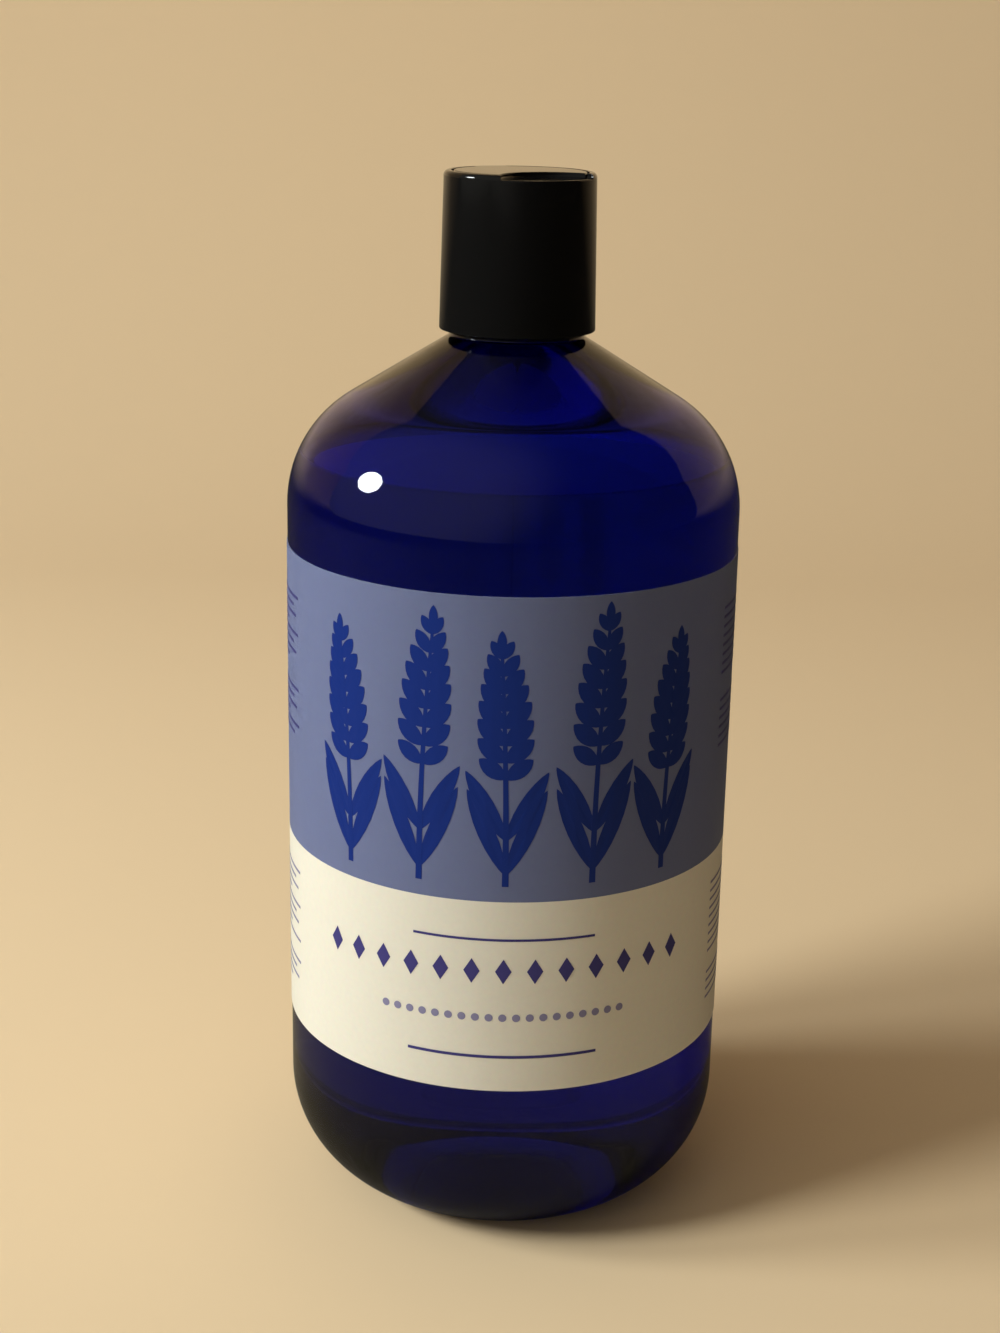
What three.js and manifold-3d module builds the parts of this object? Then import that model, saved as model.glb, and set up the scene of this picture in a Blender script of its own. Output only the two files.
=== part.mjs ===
// Hand soap refill bottle: a blow-moulded bottle with a wraparound label and a screw cap whose top
// disc tilts to pour. Millimetres, +Z up, the label's face towards -Y, origin at the centre of the base.
import * as THREE from "three";
import { mergeVertices, toCreasedNormals } from "three/addons/utils/BufferGeometryUtils.js";
import Module from "manifold-3d";

const wasm = await Module();
wasm.setup();

// Bottle body
const bodyRadius = 45.4;
const bodyTop = 147.1; // where the straight wall ends and the shoulder starts
const wall = 0.8;
const baseWall = 2.2; // the heel thins from this to the wall
const heelRadius = 24.1;
const standReach = 3.7; // of the flat standing ring out under the heel's arc
const standWidth = 3.5;
const pushUp = 5; // rise of the base inside that ring
const gateRadius = 2; // moulding nub at the middle of the base
const gateHeight = 0.6;
const shoulderRadius = 24.9;
const shoulderSlope = THREE.MathUtils.degToRad(31.7); // of the cone above the shoulder, from the horizontal
const neckFillet = 1;

// Neck finish, 28 mm with one and a half turns of thread
const boreRadius = 10.6;
const neckWall = 1.95;
const bandStep = 0.55; // of the plain band below the thread, out from the neck's wall
const bandHeight = 3.4;
const finishHeight = 18.2; // from the top of the cone to the lip
const lipChamfer = 0.5;
const threadDepth = 1.15;
const threadPitch = 4.233;
const threadTurns = 1.5;
const threadBase = 2.3; // widths of the ridge at its root and its tip
const threadTip = 1;
const threadStart = 2; // from the lip down to the middle of the topmost ridge
const threadFade = 0.12; // turns over which a ridge rises and dies away

// Contents and label
const fillRise = 9.5; // of the liquid's surface above the straight wall
const contentsGap = 0.3;
const labelLowMargin = 15.6; // from the heel up to the label
const labelHighMargin = 7.45; // from the label up to the shoulder
const labelThickness = 0.1;
const labelGap = 0.06; // adhesive between film and wall
const labelSeam = 1; // bare strip between the label's two ends, at the back
const labelCorner = 1.5;

// Cap shell
const skirtGap = 1.2; // of the skirt above the bottle's cone
const capWall = 1.37; // of the skirt at its edge
const capDraft = 0.55; // how much narrower the cap is at its top
const capEdge = 1; // rounding of the top edge
const threadClearance = 0.3; // radial, between each ridge's tip and the facing wall
const flankClearance = 0.3; // axial, between the flanks that bear
const capTurns = 1.75;
const capThreadStart = 4.8; // from the deck down to the middle of the cap's topmost ridge
const seatGap = 0.1; // either side of the sealing ring
const sealThickness = 1;
const sealOverhang = 1.1; // of the sealing ring into the bore
const deckThickness = 1.3;
const chamberDepth = 10.8; // from the cap's top down to the deck
const rimWidth = 1.45; // of the wall round the disc
const capHeading = THREE.MathUtils.degToRad(28); // of the thumb side, from -Y towards +X

// Pouring mechanism
const orificeRadius = 3.2;
const orificeWall = 1;
const orificeOffset = 4; // from the cap's axis towards the spout
const seatChamfer = 0.5; // conical seat at the top of the orifice
const discGap = 0.4;
const discThickness = 2.6;
const discEdge = 0.4;
const pivotDrop = 2.2; // of the pivot below the disc's face
const pivotOffset = 2; // of the pivot from the axis towards the thumb side
const trunnionRadius = 0.9;
const trunnionReach = 0.65; // into the socket
const trunnionRoot = 2; // under the disc
const socketClearance = 0.25;
const spoutBore = 5; // width of the pouring channel
const spoutHeight = 2.8; // height of the pouring channel
const spoutWall = 1;
const spoutGap = 0.35; // round the spout in its notch
const hoodRoom = 1.2; // between the plug and the hood over it
const plugLap = 0.2; // of the plug over the orifice's edge
const plugEase = 0.6; // by which the plug's tip is smaller than the orifice
const plugReach = 0.4; // of the plug's tip into the orifice
const mechanismGap = 0.3; // between the hood and the orifice's rim
const thumbRadius = 10.8;
const thumbDepth = 0.9;
const thumbFillet = 0.4;
const tiltLimit = THREE.MathUtils.degToRad(20);
const stopInset = 2; // from the disc's edge in to the rib that the pressed disc comes down on
const stopWidth = 1.5;
const stopSpan = THREE.MathUtils.degToRad(70);

// Faceting
const around = 48; // facets round the axis
const chordError = 0.2; // of the facets along a profile's arcs
const fewestSteps = 3; // on any arc
const overlap = 0.5; // how far joined shapes run into each other
const creaseAngle = THREE.MathUtils.degToRad(30);

// Derived places
const heelCentre = bodyRadius - heelRadius;
const standOuter = heelCentre + standReach;
const standInner = standOuter - standWidth;
const rootRadius = boreRadius + neckWall;
const threadRadius = rootRadius + threadDepth;
const neckRadius = rootRadius + bandStep;
const heelTop = Math.sqrt(heelRadius ** 2 - standReach ** 2);
const baseLift = baseWall - wall;
const coneStart = Math.PI / 2 - shoulderSlope; // arc of the shoulder before the cone
const coneFoot = shoulderPoint(0);
const neckFoot = coneFoot.y + (coneFoot.x - neckRadius) * Math.tan(shoulderSlope);
const lip = neckFoot + finishHeight;
const threadLow = lip - threadStart - threadTurns * threadPitch; // middle of the bottle's lowest ridge
const skirtEdge = neckFoot + skirtGap;
const sealSeat = lip + seatGap;
const capBore = threadRadius + threadClearance;
const deckLow = finishHeight - skirtGap + sealThickness + 2 * seatGap;
const deckHigh = deckLow + deckThickness;
const capHeight = deckHigh + chamberDepth;
const capThreadLow = deckLow - capThreadStart - capTurns * threadPitch;
const capRadius = capBore + capWall;
const capTopRadius = capRadius - capDraft;
const chamberRadius = capTopRadius - rimWidth;
const discRadius = chamberRadius - discGap;
const discLow = capHeight - discThickness;
const spoutLow = discLow - spoutHeight - spoutWall;
const orificeTop = spoutLow - mechanismGap;
const pivotHeight = capHeight - pivotDrop;
const plugRadius = orificeRadius + plugLap;
const plugTip = orificeRadius - plugEase;
const hoodRadius = plugRadius + hoodRoom;
const stopOuter = discRadius - stopInset;

// Place on the shoulder where its arc turns into the cone, for a skin that far inside the outer one.
function shoulderPoint(inset) {
  const radius = shoulderRadius - inset;
  return new THREE.Vector2(
    bodyRadius - shoulderRadius + radius * Math.cos(coneStart),
    bodyTop + radius * Math.sin(coneStart),
  );
}

// Closed geometry to a solid that can be joined and cut.
function solid(geometry) {
  const bare = geometry.clone();
  bare.deleteAttribute("normal");
  bare.deleteAttribute("uv");
  const merged = mergeVertices(bare, 1e-4);
  return new wasm.Manifold(
    new wasm.Mesh({
      numProp: 3,
      vertProperties: merged.attributes.position.array,
      triVerts: new Uint32Array(merged.index.array),
    }),
  );
}

// A named mesh from a finished solid.
function piece(name, body, material) {
  const made = body.getMesh();
  const geometry = new THREE.BufferGeometry();
  geometry.setAttribute("position", new THREE.BufferAttribute(made.vertProperties, 3));
  geometry.setIndex(new THREE.BufferAttribute(made.triVerts, 1));
  const mesh = new THREE.Mesh(toCreasedNormals(geometry, creaseAngle), material);
  mesh.name = name;
  return mesh;
}

// Points along a profile, with as many on each arc as its size needs.
function trace(path) {
  const points = [path.curves[0].getPoint(0)];
  for (const curve of path.curves) {
    const sweep = curve.isEllipseCurve ? Math.abs(curve.aEndAngle - curve.aStartAngle) : 0;
    const steps = Math.ceil(sweep * Math.sqrt(curve.xRadius / (8 * chordError)));
    points.push(...curve.getPoints(sweep ? Math.max(steps, fewestSteps) : 1).slice(1));
  }
  return points;
}

// Points of radius and height turned about Z.
function turn(points, facets = around) {
  return solid(new THREE.LatheGeometry(points, facets).rotateX(Math.PI / 2));
}

// A profile turned about Z.
function revolve(path, facets = around) {
  return turn(trace(path), facets);
}

// A round bar along Z from low to high.
function bar(radius, low, high, facets = around / 2) {
  const path = new THREE.Path().moveTo(0, low).lineTo(radius, low).lineTo(radius, high).lineTo(0, high);
  return revolve(path, facets);
}

// A plain ring about Z.
function tube(inner, outer, low, high) {
  const path = new THREE.Path().moveTo(inner, low).lineTo(outer, low).lineTo(outer, high).lineTo(inner, high);
  return revolve(path.lineTo(inner, low));
}

// A block between two corners.
function block(low, high) {
  const size = new THREE.Vector3().subVectors(high, low);
  const middle = new THREE.Vector3().addVectors(low, high).multiplyScalar(0.5);
  return solid(new THREE.BoxGeometry(size.x, size.y, size.z).translate(middle.x, middle.y, middle.z));
}

// A helical ridge on a wall, facing outwards (side 1) or inwards (side -1), fading out at both ends.
function threadRidge(wallRadius, side, low, turns, startAngle) {
  const section = new THREE.Shape([
    new THREE.Vector2(-threadBase / 2, -overlap),
    new THREE.Vector2(threadBase / 2, -overlap),
    new THREE.Vector2(threadBase / 2, 0),
    new THREE.Vector2(threadTip / 2, threadDepth),
    new THREE.Vector2(-threadTip / 2, threadDepth),
    new THREE.Vector2(-threadBase / 2, 0),
  ]);
  const steps = Math.ceil((turns * around) / 2);
  const ridge = new THREE.ExtrudeGeometry(section, { depth: turns, steps, bevelEnabled: false });
  const place = ridge.getAttribute("position");
  for (let i = 0; i < place.count; i++) {
    const along = place.getZ(i);
    const rise = Math.min(1, along / threadFade, (turns - along) / threadFade);
    const stand = place.getY(i) > 0 ? place.getY(i) * rise : place.getY(i);
    const angle = startAngle + along * 2 * Math.PI;
    const radius = wallRadius + side * stand;
    const height = low + along * threadPitch + side * place.getX(i);
    place.setXYZ(i, radius * Math.cos(angle), radius * Math.sin(angle), height);
  }
  return solid(ridge);
}

// Half profile of the bottle's skin, set in from the outer one and its base lifted, from the axis up to the
// shoulder's end.
function skinPath(inset, lift) {
  const radius = heelRadius - inset;
  const heelHeight = heelTop + lift;
  const floor = heelHeight - Math.sqrt(radius ** 2 - standReach ** 2);
  const domeRadius = (standInner ** 2 + pushUp ** 2) / (2 * pushUp);
  const domeCentre = floor + pushUp - domeRadius;
  const domeEdge = Math.atan2(floor - domeCentre, standInner);
  return new THREE.Path()
    .moveTo(0, floor + pushUp)
    .absarc(0, domeCentre, domeRadius, Math.PI / 2, domeEdge, true)
    .lineTo(standOuter, floor)
    .absarc(heelCentre, heelHeight, radius, Math.atan2(floor - heelHeight, standReach), 0, false)
    .lineTo(bodyRadius - inset, bodyTop)
    .absarc(bodyRadius - shoulderRadius, bodyTop, shoulderRadius - inset, 0, coneStart, false);
}

// Points of the inner skin from the bore down to the base, for the way back of the bottle's profile.
function innerSkin() {
  const points = trace(skinPath(wall, baseLift));
  const end = shoulderPoint(wall);
  const boreFoot = end.y + (end.x - boreRadius) * Math.tan(shoulderSlope);
  return [...points, new THREE.Vector2(boreRadius, boreFoot)].reverse();
}

function bottle() {
  const filletRise = (neckFillet * (1 - Math.sin(shoulderSlope))) / Math.cos(shoulderSlope);
  const outer = skinPath(0, 0)
    .absarc(
      neckRadius + neckFillet,
      neckFoot + filletRise,
      neckFillet,
      1.5 * Math.PI - shoulderSlope,
      Math.PI,
      true,
    )
    .lineTo(neckRadius, neckFoot + bandHeight)
    .lineTo(rootRadius, neckFoot + bandHeight + bandStep)
    .lineTo(rootRadius, lip - lipChamfer)
    .lineTo(rootRadius - lipChamfer, lip)
    .lineTo(boreRadius, lip);
  const shell = turn([...trace(outer), ...innerSkin()]);
  const thread = threadRidge(rootRadius, 1, threadLow, threadTurns, 0);
  const gate = bar(gateRadius, pushUp - gateHeight, pushUp + wall / 2, around / 4);
  return shell.add(thread).add(gate);
}

// Liquid soap, filling the bottle to its level.
function contents() {
  const inset = wall + contentsGap;
  const radius = shoulderRadius - inset;
  const surface = Math.asin(fillRise / radius);
  const path = skinPath(inset, baseLift);
  path.curves.pop();
  path.currentPoint.set(bodyRadius - inset, bodyTop);
  path.absarc(bodyRadius - shoulderRadius, bodyTop, radius, 0, surface, false).lineTo(0, bodyTop + fillRise);
  return revolve(path);
}

// Film wrapped round the wall, its ends apart at the back and its corners round.
function label() {
  const low = heelTop + labelLowMargin;
  const high = bodyTop - labelHighMargin;
  const inner = bodyRadius + labelGap;
  const outer = inner + labelThickness;
  const ring = tube(inner, outer, low, high);
  const half = labelSeam / 2;
  const wide = half + labelCorner;
  const seam = new THREE.Shape()
    .moveTo(-wide, low - overlap)
    .lineTo(wide, low - overlap)
    .lineTo(wide, low)
    .absarc(wide, low + labelCorner, labelCorner, -Math.PI / 2, -Math.PI, true)
    .absarc(wide, high - labelCorner, labelCorner, Math.PI, Math.PI / 2, true)
    .lineTo(wide, high + overlap)
    .lineTo(-wide, high + overlap)
    .lineTo(-wide, high)
    .absarc(-wide, high - labelCorner, labelCorner, Math.PI / 2, 0, true)
    .absarc(-wide, low + labelCorner, labelCorner, 0, -Math.PI / 2, true)
    .lineTo(-wide, low - overlap);
  const depth = outer + overlap;
  const cut = new THREE.ExtrudeGeometry(seam, { depth, bevelEnabled: false, curveSegments: fewestSteps });
  cut.rotateX(Math.PI / 2).translate(0, depth, 0);
  return ring.subtract(solid(cut));
}

// Everything of the cap below is in the cap's own frame: z 0 at the skirt's edge, the spout towards +Y.

// Ring that seals the cap's deck against the bottle's lip.
function sealRing() {
  const low = sealSeat - skirtEdge;
  return tube(boreRadius - sealOverhang, threadRadius, low, low + sealThickness);
}

// The cap's outer form, solid: a slightly tapered drum with a rounded top edge.
function capForm() {
  return revolve(
    new THREE.Path()
      .moveTo(0, 0)
      .lineTo(capRadius, 0)
      .lineTo(capTopRadius, capHeight - capEdge)
      .absarc(capTopRadius - capEdge, capHeight - capEdge, capEdge, 0, Math.PI / 2, false)
      .lineTo(0, capHeight),
  );
}

// Shallow round pocket at the rim for the thumb, cut from cap and disc alike.
function thumbPocket() {
  const floor = capHeight - thumbDepth;
  return revolve(
    new THREE.Path()
      .moveTo(0, floor)
      .lineTo(thumbRadius - thumbFillet, floor)
      .absarc(thumbRadius - thumbFillet, floor + thumbFillet, thumbFillet, -Math.PI / 2, 0, false)
      .lineTo(thumbRadius, capHeight + overlap)
      .lineTo(0, capHeight + overlap),
  ).translate([0, -capTopRadius, 0]);
}

// Round bars along X at the pivot, one each side, from one reach to another.
function pivotBars(radius, inner, outer) {
  const along = bar(radius, inner, outer, around / 4).rotate([0, 90, 0]);
  const one = along.translate([0, -pivotOffset, pivotHeight]);
  return one.add(one.mirror([1, 0, 0]));
}

// Curved rib on the deck under the thumb side, as high as the pressed disc's underside leaves free.
function stopRib() {
  const arm = stopOuter - pivotOffset;
  const drop = pivotHeight - discLow;
  const pressed = pivotHeight - arm * Math.sin(tiltLimit) - drop * Math.cos(tiltLimit);
  const section = new THREE.Shape()
    .absarc(0, 0, stopOuter, -Math.PI / 2 - stopSpan / 2, -Math.PI / 2 + stopSpan / 2, false)
    .absarc(0, 0, stopOuter - stopWidth, -Math.PI / 2 + stopSpan / 2, -Math.PI / 2 - stopSpan / 2, true);
  const depth = pressed - mechanismGap - deckHigh + overlap;
  const curveSegments = 2 * fewestSteps;
  const rib = new THREE.ExtrudeGeometry(section, { depth, bevelEnabled: false, curveSegments });
  return solid(rib.translate(0, 0, deckHigh - overlap));
}

// Riser on the deck with the orifice through it and a conical seat at its top.
function orificeRiser() {
  return bar(orificeRadius + orificeWall, deckHigh - overlap, orificeTop).translate([0, orificeOffset, 0]);
}

function orificeBore() {
  return revolve(
    new THREE.Path()
      .moveTo(0, deckLow - overlap)
      .lineTo(orificeRadius, deckLow - overlap)
      .lineTo(orificeRadius, orificeTop - seatChamfer)
      .lineTo(orificeRadius + seatChamfer, orificeTop)
      .lineTo(orificeRadius + seatChamfer, orificeTop + overlap)
      .lineTo(0, orificeTop + overlap),
    around / 2,
  ).translate([0, orificeOffset, 0]);
}

function capBody() {
  const ridgeDrop = (threadBase + threadTip) / 2 + flankClearance; // below the bottle's ridge
  const rise = skirtEdge + capThreadLow + ridgeDrop - threadLow;
  const startAngle = (rise / threadPitch) * 2 * Math.PI - capHeading;
  const thread = threadRidge(capBore, -1, capThreadLow, capTurns, startAngle);
  const half = spoutBore / 2 + spoutWall + spoutGap;
  const notch = block(
    new THREE.Vector3(-half, orificeOffset + hoodRadius, spoutLow - spoutGap),
    new THREE.Vector3(half, capRadius + overlap, capHeight + overlap),
  );
  return capForm()
    .subtract(bar(capBore, -overlap, deckLow, around))
    .subtract(bar(chamberRadius, deckHigh, capHeight + overlap, around))
    .add(thread)
    .add(orificeRiser())
    .add(stopRib())
    .subtract(orificeBore())
    .subtract(pivotBars(trunnionRadius + socketClearance, 0, chamberRadius + trunnionReach + socketClearance))
    .subtract(notch)
    .subtract(thumbPocket());
}

// Disc with its trunnions, its spout and hood below, and the plug that closes the orifice.
function pressDisc() {
  const plate = revolve(
    new THREE.Path()
      .moveTo(0, discLow)
      .lineTo(discRadius, discLow)
      .lineTo(discRadius, capHeight - discEdge)
      .absarc(discRadius - discEdge, capHeight - discEdge, discEdge, 0, Math.PI / 2, false)
      .lineTo(0, capHeight),
  );
  const half = spoutBore / 2;
  const spout = block(
    new THREE.Vector3(-half - spoutWall, orificeOffset, spoutLow),
    new THREE.Vector3(half + spoutWall, capRadius + overlap, capHeight),
  ).intersect(capForm());
  const hood = bar(hoodRadius + spoutWall, spoutLow, discLow + overlap).translate([0, orificeOffset, 0]);
  const hoodHollow = bar(hoodRadius, spoutLow - overlap, discLow).translate([0, orificeOffset, 0]);
  const channel = block(
    new THREE.Vector3(-half, orificeOffset, spoutLow + spoutWall),
    new THREE.Vector3(half, capRadius + overlap, discLow),
  );
  const plug = revolve(
    new THREE.Path()
      .moveTo(0, orificeTop - plugReach)
      .lineTo(plugTip, orificeTop - plugReach)
      .lineTo(plugRadius, orificeTop - plugReach + plugRadius - plugTip)
      .lineTo(plugRadius, discLow + overlap)
      .lineTo(0, discLow + overlap),
    around / 2,
  ).translate([0, orificeOffset, 0]);
  return plate
    .add(spout)
    .add(hood)
    .add(pivotBars(trunnionRadius, discRadius - trunnionRoot, chamberRadius + trunnionReach))
    .subtract(hoodHollow)
    .subtract(channel)
    .add(plug)
    .subtract(thumbPocket());
}

const cobaltPlastic = new THREE.MeshStandardMaterial({
  color: 0x0a1583,
  roughness: 0.08,
  metalness: 0,
  transparent: true,
  opacity: 0.72,
});
const soapLiquid = new THREE.MeshStandardMaterial({
  color: 0xdfe2d2,
  roughness: 0.05,
  metalness: 0,
  transparent: true,
  opacity: 0.5,
});
const printedFilm = new THREE.MeshStandardMaterial({ color: 0x8793c6, roughness: 0.45, metalness: 0 });
const blackPlastic = new THREE.MeshStandardMaterial({ color: 0x0b0b0c, roughness: 0.22, metalness: 0 });
const whiteFoam = new THREE.MeshStandardMaterial({ color: 0xe9e7df, roughness: 0.8, metalness: 0 });

const cap = new THREE.Group();
cap.position.z = skirtEdge;
cap.rotation.z = capHeading;
cap.add(piece("cap_body", capBody(), blackPlastic));
cap.add(piece("press_disc", pressDisc(), blackPlastic));
cap.add(piece("seal_ring", sealRing(), whiteFoam));

const soapBottle = new THREE.Group();
soapBottle.add(piece("bottle", bottle(), cobaltPlastic));
soapBottle.add(piece("liquid_soap", contents(), soapLiquid));
soapBottle.add(piece("label", label(), printedFilm));
soapBottle.add(cap);

export default soapBottle;
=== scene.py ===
"""Looks of a hand soap refill bottle: cobalt plastic, printed film label, clear soap, black pouring cap."""
import math

import bmesh
import bpy
from mathutils import Matrix, Vector


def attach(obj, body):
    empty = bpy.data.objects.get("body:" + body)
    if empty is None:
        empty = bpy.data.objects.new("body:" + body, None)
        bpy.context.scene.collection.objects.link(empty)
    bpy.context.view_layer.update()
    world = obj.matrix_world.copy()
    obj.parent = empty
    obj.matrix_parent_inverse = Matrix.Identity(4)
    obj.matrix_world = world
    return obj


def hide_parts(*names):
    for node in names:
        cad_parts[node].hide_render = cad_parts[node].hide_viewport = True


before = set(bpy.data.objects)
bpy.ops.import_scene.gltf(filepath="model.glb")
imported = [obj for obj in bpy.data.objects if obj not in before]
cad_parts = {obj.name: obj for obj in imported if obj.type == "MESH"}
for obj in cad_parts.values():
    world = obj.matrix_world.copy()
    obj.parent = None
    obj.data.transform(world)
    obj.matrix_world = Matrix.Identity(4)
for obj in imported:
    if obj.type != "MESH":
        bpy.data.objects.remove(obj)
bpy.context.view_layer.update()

MM = 0.001  # the pieces' sizes are in millimetres, their meshes in metres

# Bottle
BODY_RADIUS = 45.4
BODY_TOP = 147.1
WALL = 0.8
BASE_WALL = 2.2
BASE_SWELL = 2.2  # how much thicker still the base is in its middle
HEEL_RADIUS = 24.1
STAND_REACH = 3.7
STAND_WIDTH = 3.5
PUSH_UP = 5.0
GATE_RADIUS = 2.0
GATE_HEIGHT = 0.6
GATE_SINK = 0.1
GATE_ROUND = 0.3
SHOULDER_RADIUS = 24.9
SHOULDER_SLOPE = math.radians(31.7)
NECK_FILLET = 1.0
NECK_WALL = 1.95
NECK_ROOT_DROP = 2.6  # how much lower the inside meets the bore, as the wall is thicker there
BORE_RADIUS = 10.6
BAND_STEP = 0.55
BAND_HEIGHT = 3.4
BAND_ROUND = 0.3
BAND_ROOM = 1.0  # plain height above the band, before the rows that carry the thread
FINISH_HEIGHT = 18.2
LIP_ROUND = 0.45
LIP_DEPTH = 2.0  # how far down the bore the lip's outline goes

# Screw thread
THREAD_PITCH = 4.233
THREAD_DEPTH = 1.15
THREAD_BASE = 2.3
THREAD_TIP = 1.0
THREAD_TURNS = 1.5
THREAD_START = 2.0
THREAD_FADE = 0.12  # share of a turn in which an end of the ridge rises

# Soap
FILL_RISE = 9.5
WETTING = 0.05  # how far the soap's skin lies inside the wall's, so that no film of air shows
MENISCUS_RISE = 1.3
MENISCUS_REACH = 1.4
MENISCUS_SPAN = 6 * MENISCUS_REACH  # width at the wall over which the surface is drawn as a curve
MENISCUS_STEPS = 12
RIM_ROOM = 0.3  # least height from the wall's last point to the soap's rim

# Label
LABEL_LOW_MARGIN = 15.6
LABEL_HIGH_MARGIN = 7.45
LABEL_GAP = 0.06
LABEL_THICKNESS = 0.1
LABEL_SEAM = 0.03  # the ends butt
LABEL_CORNER = 1.5
LABEL_DIVISION = 79.5  # height where the upper colour meets the lower one
LABEL_BOND = 0.02  # how far the film's back lies inside the wall, as adhesive leaves no air behind it
LABEL_COLUMNS = 220
LABEL_ROWS = 24
PRINT_LIFT = 0.015
PRINT_THICKNESS = 0.03

# Sprigs of the print
SPRIG_FOOT = 3.2  # height above the label's division
# Place, height and lean of each sprig
SPRIGS = ((-33, 46, -3), (-17, 51, 2.5), (0, 47, -1.5), (17, 52, 2), (33, 45, 3))
STEM_STEPS = 16
STEM_WIDTH = 1.3
STEM_TAPER = 0.7
LEAF_PAIRS = ((0.05, 9.5, 24), (0.2, 8.0, 30))  # share of the stem's height, half length, spread in degrees
LEAF_HALF_WIDTH = 1.7
LEAF_HOLD = 0.97  # how far out its middle stands, in half lengths
BUD_PAIRS = 8
BUD_FOOT = 0.46  # the lowest pair's share of the stem's height
BUD_SPAN = 0.5  # share of the stem's height from there to the highest pair
BUD_WAVE = (0.3, 0.62)  # start and length of the stretch of half a wave that the buds' sizes follow
BUD_HALF_LENGTH = (1.5, 2.1)  # the least, and how much more a full bud has
BUD_HALF_WIDTH = (0.75, 1.1)
BUD_SPREAD = 52  # degrees
BUD_CLOSING = 3  # degrees by which each pair stands closer to the stem than the one below it
BUD_HOLD = 1.02
TIP_RISE = 1.4
TIP_HALF_WIDTH = 0.9
TIP_HALF_LENGTH = 2.2

# Rules of the print
RULE_STEPS = 24
SMALL_PRINT_PLACE = 66.0
SMALL_PRINT_LENGTH = 26.0
SMALL_PRINT_WIDTH = 0.55
SMALL_PRINT_STEP = 1.9
SMALL_PRINT_RAG = (0.0, 0.12, 0.05, 0.3)  # share by which one rule after another is shorter

# Cap
SKIRT_GAP = 1.2
SKIRT_ROUND = 0.25
CAP_WALL = 1.37
CAP_DRAFT = 0.55
CAP_EDGE = 1.0
CAP_BORE_END = 1.2  # height at each end of the bore that is drawn with its corner
CAP_THREAD_END = 0.5  # height at each end of the bore that never carries the thread
THREAD_CLEARANCE = 0.3
FLANK_CLEARANCE = 0.3
CAP_TURNS = 1.75
CAP_THREAD_START = 4.8
SEAT_GAP = 0.1
SEAL_THICKNESS = 1.0
SEAL_OVERHANG = 1.1
SEAL_ROUND = 0.18
DECK_THICKNESS = 1.3
DECK_ROUND = 0.3
CHAMBER_DEPTH = 10.8
RIM_WIDTH = 1.45
RIM_ROUND = 0.22
CAP_HEADING = math.radians(28)

# Pouring mechanism
ORIFICE_RADIUS = 3.2
ORIFICE_WALL = 1.0
ORIFICE_OFFSET = 4.0
RISER_ROUND = 0.2
SEAT_CHAMFER = 0.5
DISC_GAP = 0.4
DISC_THICKNESS = 2.6
DISC_EDGE = 0.4
DISC_FOOT_ROUND = 0.3
PIVOT_DROP = 2.2
PIVOT_OFFSET = 2.0
TRUNNION_RADIUS = 0.9
TRUNNION_REACH = 0.65
TRUNNION_ROOT = 2.0
TRUNNION_ROUND = 0.2
SOCKET_CLEARANCE = 0.25
SOCKET_START = 2.0
SPOUT_BORE = 5.0
SPOUT_HEIGHT = 2.8
SPOUT_WALL = 1.0
SPOUT_GAP = 0.35
SPOUT_ROUND = 0.3
NOTCH_ROUND = 0.35
CHANNEL_ROUND = 0.5
CHANNEL_DROP = 0.06  # keeps the channel's ceiling out of the plane of the disc's underside
HOOD_ROOM = 1.2
HOOD_ROUND = 0.2
HOOD_LIFT = 0.03  # keeps the hood's foot out of the plane of the spout's
PLUG_LAP = 0.2
PLUG_EASE = 0.6
PLUG_REACH = 0.4
PLUG_ROUND = 0.1
MECHANISM_GAP = 0.3
THUMB_RADIUS = 10.8
THUMB_DEPTH = 0.9
THUMB_FILLET = 0.4
THUMB_FLARE = 0.3
THUMB_FLARE_END = math.radians(112)
THUMB_LIP = 0.35
THUMB_LIP_ARC = (math.radians(84), math.radians(4))
TILT_LIMIT = math.radians(20)
STOP_INSET = 2.0
STOP_WIDTH = 1.5
STOP_SPAN = math.radians(70)
STOP_ROUND = 0.2

# How far the shapes that cut and join go into or past what they meet
OVERLAP = 0.5
CAP_MARGIN = 2.0
STOP_MARGIN = 1.0
LIP_MARGIN = 1.0
LIP_RISE = 0.2
COLUMN_REACH = 3.0

# Derived places
HEEL_CENTRE = BODY_RADIUS - HEEL_RADIUS
HEEL_TOP = math.sqrt(HEEL_RADIUS**2 - STAND_REACH**2)
BASE_LIFT = BASE_WALL - WALL
STAND_INNER = HEEL_CENTRE + STAND_REACH - STAND_WIDTH
ROOT_RADIUS = BORE_RADIUS + NECK_WALL
THREAD_RADIUS = ROOT_RADIUS + THREAD_DEPTH
NECK_RADIUS = ROOT_RADIUS + BAND_STEP
SHOULDER_CENTRE = BODY_RADIUS - SHOULDER_RADIUS
CONE_START = math.pi / 2 - SHOULDER_SLOPE
CONE_FOOT_R = SHOULDER_CENTRE + SHOULDER_RADIUS * math.cos(CONE_START)
CONE_FOOT_Z = BODY_TOP + SHOULDER_RADIUS * math.sin(CONE_START)
NECK_FOOT = CONE_FOOT_Z + (CONE_FOOT_R - NECK_RADIUS) * math.tan(SHOULDER_SLOPE)
LIP = NECK_FOOT + FINISH_HEIGHT
THREAD_LOW = LIP - THREAD_START - THREAD_TURNS * THREAD_PITCH
SKIRT_EDGE = NECK_FOOT + SKIRT_GAP
LEVEL = BODY_TOP + FILL_RISE
LABEL_LOW = HEEL_TOP + LABEL_LOW_MARGIN
LABEL_HIGH = BODY_TOP - LABEL_HIGH_MARGIN
LABEL_OUTER = BODY_RADIUS + LABEL_GAP + LABEL_THICKNESS

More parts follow.
